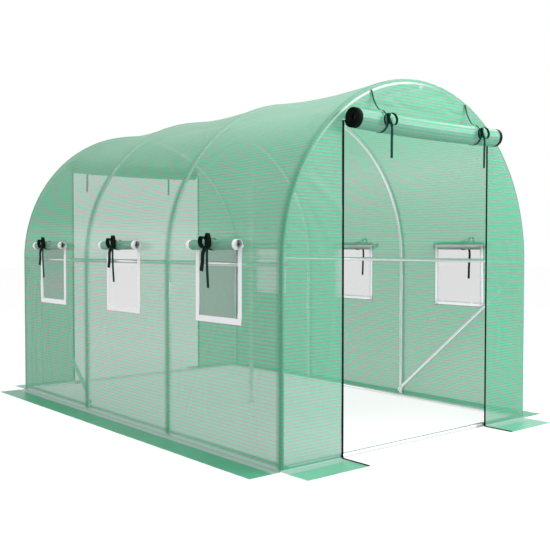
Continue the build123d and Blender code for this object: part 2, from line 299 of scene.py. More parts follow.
def wall_folds():
    """Soft drapes and creases in the side walls; heading pi / 2 runs up the wall."""
    folds = []
    for side in (-1, 1):
        wall = girth_range(0.08, 0.95, side)
        back = (1.0, 1.46) if side < 0 else (-1.46, -1.0)
        kinds = (
            (18, back, 0.12, (0.12, 0.35), (0.016, 0.03), (0.0016, 0.0036)),
            (18, back, 0.6, (0.03, 0.08), (0.010, 0.016), (0.0012, 0.0024)),
            (30, (-1.45, 1.45), 0.6, (0.06, 0.2), (0.012, 0.03), (0.0012, 0.0028)),
        )
        for count, lengths, spread, reach, width, height in kinds:
            folds += scattered(count, lengths, wall, pi / 2, spread, reach, width, height)
        below = girth_range(0.5, 0.68, side)
        for corner, end in [(place + end * WINDOW_HALF, end) for place in BAYS for end in (-1, 1)]:
            near = (corner - 0.06, corner + 0.06)
            heading = pi / 2 - 0.7 * end * side
            folds += scattered(3, near, below, heading, 0.25, (0.05, 0.13), (0.01, 0.02), (0.001, 0.002))
    return folds


COVER_FOLDS = hoop_folds() + wall_folds()


def cover_offset(girth, y):
    """How far the film stands out from its plain shape."""
    place = np.minimum(girth, WHOLE_GIRTH - girth)
    angle = np.clip((place - SPRING_GIRTH) / FILM_RADIUS, 0, pi / 2)
    share = bay_share(y)
    slack = 4 * share * (1 - share)
    roof = np.clip((np.sin(angle) - sin(ROOF_START)) / (1 - sin(ROOF_START)), 0, 1)
    height = np.clip((place - SKIRT_LENGTH) / WALL_LENGTH, 0, 1)
    wall = np.where(angle > 0, np.clip(1 - angle / 0.6, 0, 1) * 0.5, np.sin(height * pi * 0.5) * 0.5)
    lift = -SAG * slack * roof * (0.35 + 0.65 * np.sin(angle)) - 0.006 * slack * wall
    free = np.clip(np.minimum(share, 1 - share) / 0.06, 0, 1)
    above_ground = np.clip((place - SKIRT_LENGTH) / 0.06, 0, 1)
    return lift + fold_field(y, girth, COVER_FOLDS) * free * above_ground


def cover_point(w, girth, outward=0.0):
    """The point on the cover at a length place and a girth place, moved outward."""
    x, z, across, up = section(girth)
    over = np.clip((np.abs(w) - STRAIGHT_HALF) / EDGE, 0, pi / 2)
    y = np.sign(w) * (np.minimum(np.abs(w), STRAIGHT_HALF) + EDGE * np.sin(over))
    inset = EDGE * (1 - np.cos(over))
    lift = cover_offset(girth, np.clip(w, HOOPS[0], HOOPS[-1])) * np.cos(over) - inset + outward
    return np.stack([x + across * lift, y, z + up * lift], -1)


def cover_grid(girths, lengths, outward):
    """A grid of points on the cover with each point's place along its threads."""
    girth, w = np.meshgrid(girths, lengths, indexing="ij")
    return cover_point(w, girth, outward), np.stack([w, girth], -1)


def cover_film(name, girths, lengths, holes=()):
    """A piece of the cover over a range of girth and length places, with holes (g0, g1, y0, y1)."""
    points, uv = cover_grid(girths, lengths, 0.0)
    normals = slope_normals(cover_point, uv[..., 0], uv[..., 1])
    keep = np.ones((len(girths) - 1, len(lengths) - 1), bool)
    middle_g = (girths[:-1] + girths[1:]) / 2
    middle_w = (lengths[:-1] + lengths[1:]) / 2
    for g0, g1, y0, y1 in holes:
        rows = (middle_g > g0) & (middle_g < g1)
        columns = (middle_w > y0) & (middle_w < y1)
        keep[np.ix_(rows, columns)] = False
    faces = grid_faces(len(girths), len(lengths), keep)
    flat = [points.reshape(-1, 3), uv.reshape(-1, 2), normals.reshape(-1, 3)]
    faces, points, uv, normals = drop_unused(faces, *flat)
    return add_piece(name, make_mesh(name, points, faces, uv, normals), side_film)


# Node graphs
class Graph:
    """Short calls for building the nodes of a material or of the world."""

    def __init__(self, owner):
        owner.use_nodes = True
        self.owner = owner
        self.nodes = owner.node_tree.nodes
        self.links = owner.node_tree.links
        for node in list(self.nodes):
            if not node.type.startswith("OUTPUT"):
                self.nodes.remove(node)
        self.output = self.nodes[0]

    def feed(self, socket, value):
        """Gives a socket a plain value, or a link from another socket."""
        if isinstance(value, bpy.types.NodeSocket):
            self.links.new(value, socket)
        else:
            socket.default_value = value

    def node(self, kind, **values):
        """A node with its settings, and with what its inputs get where a key starts with in_."""
        node = self.nodes.new("ShaderNode" + kind)
        for key, value in values.items():
            if key.startswith("in_"):
                self.feed(node.inputs[key[3:].replace("_", " ")], value)
            else:
                setattr(node, key, value)
        return node

    def fed(self, node, sockets, values):
        for socket, value in zip(sockets, values):
            self.feed(socket, value)
        return node

    def shader(self, kind, **values):
        return self.node(kind, **values).outputs[0]

    def texture(self, kind, **values):
        """A texture laid out in the piece's own metres."""
        return self.node("Tex" + kind, in_Vector=self.node("TexCoord").outputs["Object"], **values)

    def noise(self, scale, detail, **values):
        return self.texture("Noise", in_Scale=scale, in_Detail=detail, **values).outputs[0]

    def thread_places(self):
        """Metres along the film's length and girth."""
        split = self.node("SeparateXYZ", in_Vector=self.node("UVMap", uv_map="thread").outputs[0])
        return split.outputs[0], split.outputs[1]

    def math(self, operation, *values, clamp=False):
        node = self.node("Math", operation=operation, use_clamp=clamp)
        return self.fed(node, node.inputs, values).outputs[0]

    def mix_colour(self, factor, a, b):
        node = self.node("Mix", data_type="RGBA")
        return self.fed(node, (node.inputs[0], node.inputs[6], node.inputs[7]), (factor, a, b)).outputs[2]

    def mix_value(self, factor, a, b):
        node = self.node("Mix", data_type="FLOAT")
        return self.fed(node, (node.inputs[0], node.inputs[2], node.inputs[3]), (factor, a, b)).outputs[0]

    def mix_shader(self, factor, a, b):
        node = self.node("MixShader")
        return self.fed(node, node.inputs, (factor, a, b)).outputs[0]

    def ramp(self, value, start, end, low=0.0, high=1.0):
        """A smooth step from low at the start to high at the end."""
        node = self.node("MapRange", interpolation_type="SMOOTHSTEP")
        return self.fed(node, node.inputs[:5], (value, start, end, low, high)).outputs[0]

    def bump(self, height, distance, strength, **values):
        return self.shader("Bump", in_Strength=strength, in_Distance=distance, in_Height=height, **values)

    def wave(self, place, pitch):
        """A smooth band, 0 to 1, that repeats each pitch along a place in metres."""
        height = self.math("SINE", self.math("MULTIPLY", place, 2 * pi / pitch))
        return self.math("MULTIPLY_ADD", height, 0.5, 0.5)

    def band(self, place, pitch, gain):
        """A wave with flatter tops, still 0 to 1."""
        return self.math("MULTIPLY_ADD", self.wave(place, pitch), gain, 0.5 - 0.5 * gain, clamp=True)

    def seen(self):
        """1 where the white surroundings themselves are seen, 0 where they light the object."""
        rays = self.node("LightPath").outputs
        seen = self.math("MAXIMUM", rays["Is Camera Ray"], rays["Is Glossy Ray"])
        return self.math("MAXIMUM", seen, rays["Is Transmission Ray"])

    def done(self, surface):
        self.links.new(surface, self.output.inputs["Surface"])
        return self.owner


# Colours of the film: its surface, what glows through it and what is seen through it
MINT, THREAD = (0.01, 0.95, 0.46, 1), (0.50, 0.30, 0.36, 1)
END_MINT, END_THREAD = (0.01, 0.97, 0.50, 1), (0.46, 0.36, 0.38, 1)
# Painted shade and light: the side skirts' flaps get a shaded copy of the flap colour, the end skirts'
# flaps a lit copy.
SHADED_FLAP_MINT, SHADED_FLAP_THREAD = (0.08, 0.50, 0.29, 1), (0.15, 0.42, 0.28, 1)
LIT_MINT, LIT_THREAD = (0.16, 0.72, 0.46, 1), (0.36, 0.62, 0.50, 1)
ROLL_MINT, ROLL_THREAD = (0.07, 0.72, 0.42, 1), (0.50, 0.62, 0.56, 1)
WINDOW_MINT, WINDOW_THREAD = (0.16, 0.66, 0.43, 1), (0.36, 0.52, 0.44, 1)
GLOW_MINT, GLOW_THREAD = (0.10, 0.50, 0.26, 1), (0.01, 0.38, 0.20, 1)
TINT_GAP, TINT_THREAD = (1.0, 0.55, 0.87, 1), (0.84, 1.0, 0.90, 1)
# Painted highlight colour for the sewn line along each end's arch.
SEAM_HIGHLIGHT = (0.90, 0.97, 0.93, 1)
# Painted shadow colour for film that lies on a hoop.
HOOP_SHADOW = (0.004, 0.30, 0.15, 1)
# Painted sheen colour that pales the roof.
ROOF_SHEEN = (0.52, 0.82, 0.66, 1)
SIDE_PITCH = 0.0190
END_PITCH = 0.0167


def arch_highlight_and_shadow(g, x, z):
    """On an end's film: the sewn line drawn as a painted highlight, brightest on the arch's rise, and the
    painted shadow strip where the film lies on the hoop.
    """
    rise = g.math("MAXIMUM", g.math("SUBTRACT", z, SPRING), 0.0)
    reach = g.math("SQRT", g.math("ADD", g.math("MULTIPLY", x, x), g.math("MULTIPLY", rise, rise)))
    line = g.ramp(g.math("ABSOLUTE", g.math("SUBTRACT", reach, SEAM_RADIUS)), 0.009, 0.003)
    # The painted highlight fades below the rise on the left and beyond the crown to the right, as the light
    # falls.
    line = g.math("MULTIPLY", line, g.ramp(x, -0.86, -0.50))
    line = g.math("MULTIPLY", line, g.ramp(x, 0.22, -0.24, 0.10, 1.0))
    return line, g.ramp(reach, SEAM_RADIUS + 0.004, SEAM_RADIUS + 0.010)


def from_crown(g, girth):
    return g.math("ABSOLUTE", g.math("SUBTRACT", girth, WHOLE_GIRTH / 2))


def hoop_shadow_marks(g, along, girth):
    """On the long film: painted shadow strips where it lies on the hoops, one at each metre, faint over the
    crown.
    """
    off = g.math("ABSOLUTE", g.math("SUBTRACT", g.math("FRACT", along), 0.5))
    hoop_shade = g.math("MULTIPLY", g.ramp(off, 0.026, 0.016), g.ramp(from_crown(g, girth), 0.5, 1.2, 0.15, 1.0))
    edge = g.ramp(g.math("ABSOLUTE", along), HOOPS[-1], HOOPS[-1] + 0.004)
    return g.math("MAXIMUM", hoop_shade, edge)


def film(name, pitch, mint, thread, clear=0.31, cross=0.3, glow=0.4, place_of=None, dense=0.0):
    """Woven grid film: mint film between paler threads, partly clear and partly translucent. By its place
    it gets painted light: a seam highlight and hoop shadow on an end, hoop shadow, roof sheen and a shaded
    right wall on the side, a shaded flap on the ground.
    """
    g = Graph(bpy.data.materials.new(name))
    u, v = g.thread_places()
    weft = g.band(v, pitch, 1.7)
    warp = g.band(u, pitch * 0.55, 1.2)
    grid = g.math("MULTIPLY_ADD", warp, cross, g.math("MULTIPLY", weft, 1 - cross))
    cloud = g.noise(2.2, 3.0, in_Roughness=0.55)
    threads = g.math("ADD", g.math("MULTIPLY_ADD", cloud, 0.16, -0.11), grid, clamp=True)
    colour = g.mix_colour(threads, mint, thread)
    through = g.mix_colour(threads, GLOW_MINT, GLOW_THREAD)
    tint = g.mix_colour(threads, TINT_GAP, TINT_THREAD)
    opacity = g.ramp(v, 0.75, 1.35, 1 - clear, 1 - clear + dense) if dense else 1 - clear
    painted_mark, hoop_shade = None, None
    if place_of == "end":
        painted_mark, hoop_shade = arch_highlight_and_shadow(g, u, v)
        # Painted highlight: the seam line turns near white, in colour and glow.
        colour = g.mix_colour(painted_mark, colour, SEAM_HIGHLIGHT)
        through = g.mix_colour(painted_mark, through, SEAM_HIGHLIGHT)
    elif place_of == "side":
        hoop_shade = hoop_shadow_marks(g, u, v)
        crown = from_crown(g, v)
        # Painted sheen: the roof pales towards its crown, less towards the back.
        roof_sheen = g.math("MULTIPLY", g.ramp(crown, 1.1, 0.5, 0.0, 0.46), g.ramp(u, 1.45, 0.5, 0.1, 1.0))
        colour = g.mix_colour(roof_sheen, colour, ROOF_SHEEN)
        # Painted shade: the right wall is made more opaque than the left, so it reads darker from inside.
        shaded_right_wall = g.ramp(v, WHOLE_GIRTH / 2 + 0.85, WHOLE_GIRTH / 2 + 1.35, opacity, 0.77)
        opacity = g.math("MAXIMUM", g.ramp(crown, 1.0, 0.55, opacity, 0.84), shaded_right_wall)
    elif place_of == "ground":
        # Painted shade: the flap and its crease are opaque, so the floor under them does not show white.
        painted_mark = g.node("Attribute", attribute_name="flap_shade").outputs["Fac"]
    # Painted shadow: film that lies on a hoop is darkened and made more opaque.
    if hoop_shade is not None:
        colour = g.mix_colour(g.math("MULTIPLY", hoop_shade, 0.36), colour, HOOP_SHADOW)
        through = g.mix_colour(g.math("MULTIPLY", hoop_shade, 0.36), through, HOOP_SHADOW)
    for extra, share in ((painted_mark, 1.0), (hoop_shade, 0.5)):
        if extra is not None:
            opacity = g.mix_value(g.math("MULTIPLY", extra, share), opacity, 1.0)

    crumple = g.noise(9.0, 5.0, in_Roughness=0.55, in_Distortion=0.6)
    weave = g.math("MULTIPLY", g.wave(u, 0.0024), g.wave(v, 0.0024))
    soft = g.bump(crumple, 0.012, 0.35)
    fine = g.bump(weave, 0.0002, 0.5, in_Normal=soft)
    raised = g.bump(grid, 0.0006, 0.6, in_Normal=fine)
    body = g.shader("BsdfPrincipled", in_Roughness=0.28, in_IOR=1.5, in_Base_Color=colour, in_Normal=raised)
    lamp = g.shader("BsdfTranslucent", in_Color=through, in_Normal=raised)
    pane = g.shader("BsdfTransparent", in_Color=tint)
    return g.done(g.mix_shader(opacity, pane, g.mix_shader(glow, body, lamp)))


def steel_material(name, tint=1.0):
    """Galvanised steel with a faint spangle, darker where its tint is less than 1."""
    g = Graph(bpy.data.materials.new(name))
    spangle = g.texture("Voronoi", in_Scale=90.0).outputs["Color"]
    cloud = g.noise(18.0, 4.0)
    tone = g.mix_colour(spangle, (0.77, 0.79, 0.80, 1), (0.85, 0.86, 0.86, 1))
    tone = g.mix_colour(g.math("MULTIPLY", cloud, 0.5), tone, (0.80, 0.81, 0.82, 1))
    tone = g.mix_colour(1 - tint, tone, (0.10, 0.11, 0.12, 1))
    rough = g.mix_value(cloud, 0.27, 0.33)
    smooth = g.bump(cloud, 0.0001, 0.1)
    return g.done(g.shader(
        "BsdfPrincipled", in_Metallic=1.0, in_Base_Color=tone, in_Roughness=rough, in_Normal=smooth,
    ))


def tape_material(name, colour, dark, glow=0.0, clear=0.0):
    """Matt woven tape with a fine rib, which may let light and sight through."""
    g = Graph(bpy.data.materials.new(name))
    rib_pitch = 0.0016
    rib = g.texture("Wave", in_Scale=1 / rib_pitch / 20, in_Distortion=0.4, in_Detail=1.0).outputs[0]
    tone = g.mix_colour(g.noise(40.0, 4.0), dark, colour)
    body = g.shader(
        "BsdfPrincipled", in_Roughness=0.75, in_Specular_IOR_Level=0.12, in_Base_Color=tone,
        in_Normal=g.bump(rib, 0.0003, 0.5),
    )
    if not glow:
        return g.done(body)
    cloth = g.mix_shader(glow, body, g.shader("BsdfTranslucent", in_Color=tone))
    return g.done(g.mix_shader(clear, cloth, g.shader("BsdfTransparent")))


def net_material():
    """Fine insect net: threads on a 1.2 mm pitch, with open holes between them."""
    g = Graph(bpy.data.materials.new("insect_net"))
    across, up = [g.wave(place, 0.0012) for place in g.thread_places()]
    strand = g.math("MAXIMUM", across, up)
    place = g.node("UVMap", uv_map="thread").outputs[0]
    cloud = g.node("TexNoise", in_Vector=place, in_Scale=25.0, in_Detail=3.0).outputs[0]
    tone = g.mix_colour(cloud, (0.04, 0.05, 0.045, 1), (0.08, 0.09, 0.085, 1))
    ribbed = g.bump(strand, 0.0003, 0.6)
    body = g.shader("BsdfPrincipled", in_Roughness=0.6, in_Base_Color=tone, in_Normal=ribbed)
    cover = g.math("MULTIPLY_ADD", strand, 0.16, 0.17)
    return g.done(g.mix_shader(cover, g.shader("BsdfTransparent"), body))


side_film = film("side_film", SIDE_PITCH, MINT, THREAD, cross=0.28, place_of="side")
end_film = film("end_film", END_PITCH, END_MINT, END_THREAD, cross=0.26, place_of="end")
dense_film = film("dense_film", END_PITCH, END_MINT, END_THREAD, cross=0.26, place_of="end", dense=0.2)
# The side skirts take the shaded flap colours and the end skirts the lit ones: painted shade and light.
skirt_film = film("skirt_film", END_PITCH, SHADED_FLAP_MINT, SHADED_FLAP_THREAD, glow=0.25, place_of="ground")
end_skirt_film = film("end_skirt_film", END_PITCH, LIT_MINT, LIT_THREAD, glow=0.25, place_of="ground")
roll_film = film("roll_film", END_PITCH, ROLL_MINT, ROLL_THREAD, clear=0.03)
flap_film = film("flap_film", SIDE_PITCH, WINDOW_MINT, WINDOW_THREAD, clear=0.10)
steel = steel_material("galvanised_steel")
dull_steel = steel_material("dull_steel", 0.45)
WHITE, OFF_WHITE = (0.99, 0.97, 0.995, 1), (0.95, 0.94, 0.97, 1)
white_tape = tape_material("white_tape", WHITE, OFF_WHITE)
thin_tape = tape_material("thin_tape", WHITE, OFF_WHITE, glow=0.6, clear=0.2)
grey_tape = tape_material("grey_tape", (0.50, 0.52, 0.52, 1), (0.30, 0.32, 0.32, 1))
black_tape = tape_material("black_tape", (0.004, 0.012, 0.009, 1), (0.001, 0.003, 0.002, 1))
green_tape = tape_material("green_tape", (0.002, 0.055, 0.034, 1), (0.001, 0.026, 0.017, 1))
net = net_material()


# Cover
def make_walls():
    for side, name in SIDES:
        half = WINDOW_HALF - OVERLAP
        low, high = girth_range(WINDOW_BOTTOM + OVERLAP, WINDOW_TOP - OVERLAP, side)
        holes = [(low, high, place - half, place + half) for place in BAYS]
        start, top = SKIRT_LENGTH, ROOF_GIRTH
        if side > 0:
            start, top = WHOLE_GIRTH - top, WHOLE_GIRTH - start
        stops = [-STRAIGHT_HALF, *(place for hole in holes for place in hole[2:]), STRAIGHT_HALF]
        straight = steps(FILM_STEP, *stops)
        lengths = np.concatenate([-(STRAIGHT_HALF + EDGE_TURN)[::-1], straight, STRAIGHT_HALF + EDGE_TURN])
        wall = cover_film(name + "_wall_film", steps(FILM_STEP, start, low, high, top), lengths, holes)
        finish_piece(wall, "cover_film", name + "_wall")


def make_roofs():
    girths = steps(FILM_STEP, ROOF_GIRTH, WHOLE_GIRTH - ROOF_GIRTH)
    for index, name in enumerate(("front_roof", "middle_roof", "back_roof")):
        start = max(HOOPS[index], -STRAIGHT_HALF) if index else -STRAIGHT_HALF
        end = HOOPS[index + 1] if index < len(BAYS) - 1 else STRAIGHT_HALF
        lengths = steps(FILM_STEP, start, end)
        if index == 0:
            lengths = np.concatenate([-(STRAIGHT_HALF + EDGE_TURN)[::-1], lengths])
        elif index == len(BAYS) - 1:
            lengths = np.concatenate([lengths, STRAIGHT_HALF + EDGE_TURN])
        roof = cover_film(name + "_film", girths, lengths)
        finish_piece(roof, "cover_film", name)


# End panels
def panel_folds():
    folds = []
    for sides in ((-0.97, -0.62), (0.62, 0.97)):
        folds += scattered(8, sides, (0.15, 1.6), pi / 2, 0.3, (0.1, 0.35), (0.015, 0.035), (0.001, 0.0025))
    top, reach, width, height = (1.74, 1.95), (0.06, 0.22), (0.012, 0.025), (0.001, 0.002)
    folds += scattered(10, (-0.55, 0.55), top, 0.0, 0.35, reach, width, height)
    return folds


def panel_film(name, x, z, folds, end):
    """A piece of an end's film over a grid of (x, z), seen from the front: end is -1 or 1."""

    def point(x, z):
        reach = np.where(z > SPRING, np.hypot(x, z - SPRING), np.abs(x))
        edge = PANEL_RADIUS - reach
        held = np.clip(edge / 0.05, 0, 1) * np.clip((z - BEND) / 0.05, 0, 1)
        billow = 0.003 * np.sin(np.clip(z / 1.72, 0, 1) * pi) * np.clip(edge / 0.2, 0, 1)
        lift = (fold_field(x, z, folds) + billow) * held
        return np.stack([-end * x, end * (FILM_END + lift), z + np.zeros_like(x)], -1)

    normals = slope_normals(point, x, z).reshape(-1, 3)
    uv = np.stack([x, z], -1).reshape(-1, 2)
    mesh = make_mesh(name + "_film", point(x, z).reshape(-1, 3), grid_faces(*x.shape), uv, normals)
    dense = name in ("back_left_panel", "back_over_door_panel")
    panel = add_piece(name + "_film", mesh, dense_film if dense else end_film)
    finish_piece(panel, "cover_film", name)


def make_ends():
    width, tall = PANEL_RADIUS - DOOR_HALF, SPRING + PANEL_RADIUS - DOOR_TOP
    shoulder = SPRING + sqrt(PANEL_RADIUS**2 - DOOR_HALF**2)
    for end, end_name in ENDS:
        folds = panel_folds()
        for side in (-1, 1):
            heights = steps(FILM_STEP, FLAP_Z + BEND, SPRING, shoulder)
            outer = np.sqrt(PANEL_RADIUS**2 - np.maximum(heights - SPRING, 0) ** 2)[:, None]
            x = side * (outer + (DOOR_HALF - outer) * np.linspace(0, 1, 33)[None, :])
            z = np.repeat(heights[:, None], x.shape[1], 1)
            if side > 0:
                x, z = x[:, ::-1], z[:, ::-1]
            name = f"{end_name}_{'left' if side * end > 0 else 'right'}_panel"
            panel_film(name, x, z, folds, end)
        share = np.linspace(0, 1, 22)[:, None]
        x = steps(FILM_STEP, -DOOR_HALF, DOOR_HALF)
        top = SPRING + np.sqrt(PANEL_RADIUS**2 - x**2)
        z = DOOR_TOP + (top[None, :] - DOOR_TOP) * share
        x = np.repeat(x[None, :], len(share), 0)
        name, flat = end_name + "_over_door_panel", (2 * DOOR_HALF, tall)
        panel_film(name, x, z, folds, end)


# Skirts
# Painted shade: past this distance out, the flap's film is opaque, as if the floor under it were shaded.
SHADED_FLAP_OUT = 0.040
RIDGE_OUT = 0.043


def flap_lift(along, out, seed):
    """How a skirt's flap lifts off the ground along its length, most at its hem."""
    rng = np.random.default_rng(seed)
    lift = np.zeros_like(along)
    for _ in range(9):
        size = rng.uniform(0.12, 0.5)
        lift += rng.uniform(0.2, 1.0) * np.sin(along / size * 2 * pi + rng.uniform(0, 6.3))
    return np.abs(lift) * 0.0005 * np.clip(out / 0.15, 0, 1) ** 1.5


def skirt_part(along, seed):
    """Points, normals, thread places and faces of a skirt in its own frame: out, along, up."""
    wide = steps(0.011, 0.0, FLAP - 0.054)
    fine = steps(0.003, FLAP - 0.051, FLAP)
    place = np.concatenate([wide, fine, steps(0.0016, FLAP, SKIRT_LENGTH)[1:]])

    def point(a, p):
        x, z, _ = skirt_bend(p)
        out = np.clip(FLAP - p, 0, None)
        ridge = 0.0015 * np.exp(-(((out - RIDGE_OUT) / 0.005) ** 2))
        return np.stack([x, a, z + flap_lift(a, out, seed) + ridge], -1)

    p, a = np.meshgrid(place, along, indexing="ij")
    normals = slope_normals(point, a, p).reshape(-1, 3)
    return point(a, p).reshape(-1, 3), normals, np.stack([a, p], -1).reshape(-1, 2), grid_faces(*p.shape)


def skirt_film_piece(name, pieces, material):
    """Joins skirt pieces, each already turned into place, into one film with its face up."""
    points, normals, uv, faces = zip(*pieces)
    starts = np.cumsum([0] + [len(part) for part in points])
    faces = np.concatenate([part + start for part, start in zip(faces, starts)])
    points, normals, uv = np.concatenate(points), np.concatenate(normals), np.concatenate(uv)
    normals = normals * np.sign(normals[:, 2:3] + 1e-9)
    place = uv[:, 1]
    # Painted shade: a dark opaque line at the bend's crease and an opaque flap further out.
    crease = np.exp(-(((place - FLAP - BEND / 2) / 0.0026) ** 2))
    marks = np.maximum(np.clip((FLAP - place - SHADED_FLAP_OUT) / 0.006, 0, 1), crease)
    mesh = make_mesh(name + "_film", points, faces, uv, normals, marks=marks)
    skirt = add_piece(name + "_film", mesh, material)
    finish_piece(skirt, "cover_film", name)


def make_skirts():
    for side, name in SIDES:
        points, normals, uv, faces = skirt_part(steps(FILM_STEP, -FILM_END, FILM_END), 3 + side)
        turned = points * (side, 1, 1) + (side * FILM_RADIUS, 0, 0)
        faces = faces[:, ::side]
        pieces = [(turned, normals * (side, 1, 1), uv, faces)]
        skirt_film_piece(name + "_skirt", pieces, skirt_film)
    for end, name in ENDS:
        pieces = []
        for side in (-1, 1):
            along, seed = steps(FILM_STEP, DOOR_HALF, FILM_RADIUS), 11 + end + 3 * side
            points, normals, uv, faces = skirt_part(along, seed)
            swap = np.array([[0, end, 0], [side, 0, 0], [0, 0, 1]])
            turned = points @ swap + (0, end * FILM_END, 0)
            pieces.append((turned, normals @ swap, uv, faces[:, ::-side * end]))
        skirt_film_piece(name + "_skirt", pieces, end_skirt_film)


# Tubes
def square_to(direction):
    """A unit vector square to a direction."""
    helper = np.array([0.0, 0, 1]) if abs(direction[2]) < 0.9 else np.array([0.0, 1, 0])
    side = np.cross(direction, helper)
    return side / np.linalg.norm(side)


def ring(sides, side, other):
    """Points round a ring that is given by its two square half axes."""
    turn = np.linspace(0, 2 * pi, sides, endpoint=False)
    return np.outer(np.cos(turn), side) + np.outer(np.sin(turn), other)


def tube_rings(route, radii, sides=TUBE_SIDES):
    """Points and faces of a round tube along a route, with a radius at each point."""
    route = np.asarray(route, float)
    ahead = np.gradient(route, axis=0)
    ahead /= np.linalg.norm(ahead, axis=1, keepdims=True)
    side = square_to(ahead[0])
    rings = []
    for point, direction, radius in zip(route, ahead, radii):
        side = side - direction * np.dot(side, direction)
        side /= np.linalg.norm(side)
        rings.append(point + radius * ring(sides, side, np.cross(direction, side)))
    return np.concatenate(rings), ring_faces(len(route), sides)


def joined(name, parts, *materials, angle=0.6):
    """One object from several (points, faces[, material index]) parts."""
    points, faces, kinds, start = [], [], [], 0
    for part_points, part_faces, *kind in parts:
        points.append(part_points)
        faces += [tuple(int(i) + start for i in face) for face in part_faces]
        kinds += (kind or [0]) * len(part_faces)
        start += len(part_points)
    mesh = bpy.data.meshes.new(name)
    mesh.from_pydata(np.concatenate(points).tolist(), [], faces)
    mesh.polygons.foreach_set("material_index", kinds)
    mesh.shade_smooth()
    mesh.set_sharp_from_angle(angle=angle)
    mesh.update()
    return add_piece(name, mesh, *materials)


def steel_piece(name, parts, *nodes):
    """A piece of the frame, with the duller steel where a part asks for it."""
    materials = (steel, dull_steel) if any(len(part) > 2 for part in parts) else (steel,)
    finish_piece(joined(name, parts, *materials), "steel_tube", *nodes)


def tube_profile(length, joints, step):
    """Places along a tube and its radius there, with a narrow swaged neck at each joint."""
    neck, belled = TUBE - 0.0012, TUBE + 0.0003
    shape = (
        (-0.010, TUBE), (-0.0008, TUBE), (-0.0008, neck), (0.0012, neck), (0.0012, belled),
        (0.012, belled), (0.02, TUBE),
    )
    stops = [(0.0, TUBE)] + [(joint + shift, radius) for joint in joints for shift, radius in shape]
    stops.append((length, TUBE))
    places, sizes = [0.0], [TUBE]
    for (a, ra), (b, rb) in zip(stops, stops[1:]):
        count = max(1, int((b - a) / step))
        for i in range(1, count + 1):
            places.append(a + (b - a) * i / count + (1e-5 if a == b else 0))
            sizes.append(ra + (rb - ra) * i / count)
    return np.array(places), np.array(sizes)


def hoop_route(places, y):
    """Points along a hoop's girth: up the right leg, over and down the left."""
    points = []
    arc = HOOP_RADIUS * pi
    for place in places:
        if place < SPRING:
            points.append((HOOP_RADIUS, y, place))
        elif place < SPRING + arc:
            angle = (place - SPRING) / HOOP_RADIUS
            points.append((HOOP_RADIUS * cos(angle), y, SPRING + HOOP_RADIUS * sin(angle)))
        else:
            points.append((-HOOP_RADIUS, y, SPRING - (place - SPRING - arc)))
    return points


def make_hoops():
    arc = HOOP_RADIUS * pi
    crown = HOOP_RADIUS * radians(60)
    leg = SPRING - LEG_JOINT
    neck = TUBE - 0.0012
    rings = (
        (0.0, TUBE - 0.001), (0.001, TUBE), (LEG_JOINT - 0.002, TUBE), (LEG_JOINT - 0.001, TUBE - 0.0004),
        (LEG_JOINT - 0.00099, neck), (LEG_JOINT + 0.002, neck),
    )
    for name, y in zip(HOOP_NAMES, HOOPS):
        places, sizes = tube_profile(2 * leg + arc, [leg + crown, leg + arc - crown], 0.04)
        arch = tube_rings(hoop_route(places + LEG_JOINT, y), sizes)
        steel_piece(name + "_arch_tube", [arch], name + "_arch")
        legs = [
            tube_rings([(side * HOOP_RADIUS, y, z) for z, _ in rings], [radius for _, radius in rings])
            for side in (-1, 1)
        ]
        steel_piece(name + "_leg_tubes", legs, name + "_legs")


def make_long_rails():
    reach = HOOPS[-1] + TUBE
    joints = [place + 0.06 + reach for place in HOOPS[1:-1]]
    rails = {
        "ridge_pole": (0.0, SPRING + RAIL_LINE),
        "left_purlin": (-RAIL_LINE, SPRING),
        "right_purlin": (RAIL_LINE, SPRING),
        "left_ground_rail": (-RAIL_LINE, TUBE),
        "right_ground_rail": (RAIL_LINE, TUBE),
    }
    for name, (x, z) in rails.items():
        places, sizes = tube_profile(2 * reach, joints, 0.5)
        steel_piece(name + "_tubes", [tube_rings([(x, place - reach, z) for place in places], sizes)], name)


def make_end_rails():
    """The rail across each doorway, with a duller sleeve over its joint."""
    reach = RAIL_LINE - TUBE * 0.6
    joint = 0.52
    rings = ((0, TUBE), (0.001, TUBE + 0.0008), (0.078, TUBE + 0.0008), (0.079, TUBE))
    for end, name in ENDS:
        y = end * HOOPS[-1]
        places, sizes = tube_profile(2 * reach, [joint + reach], 0.5)
        rail = tube_rings([(-end * (place - reach), y, TUBE) for place in places], sizes)
        sleeve_route = [(-end * (joint + x), y, TUBE) for x, _ in rings]
        sleeve = tube_rings(sleeve_route, [radius for _, radius in rings])
        steel_piece(name + "_ground_rail_tubes", [rail, sleeve + (1,)], name + "_ground_rail")


def brace_ends(end, out):
    """Places at the foot and the head of an end's brace, out from the middle."""
    foot = np.array([-end * out, end * HOOPS[2], BRACE_DROP])
    head = np.array([-end * out, end * (HOOPS[3] - BRACE_HEAD_INSET), SPRING - 2 * TUBE - BRACE_DROP])
    return foot, head


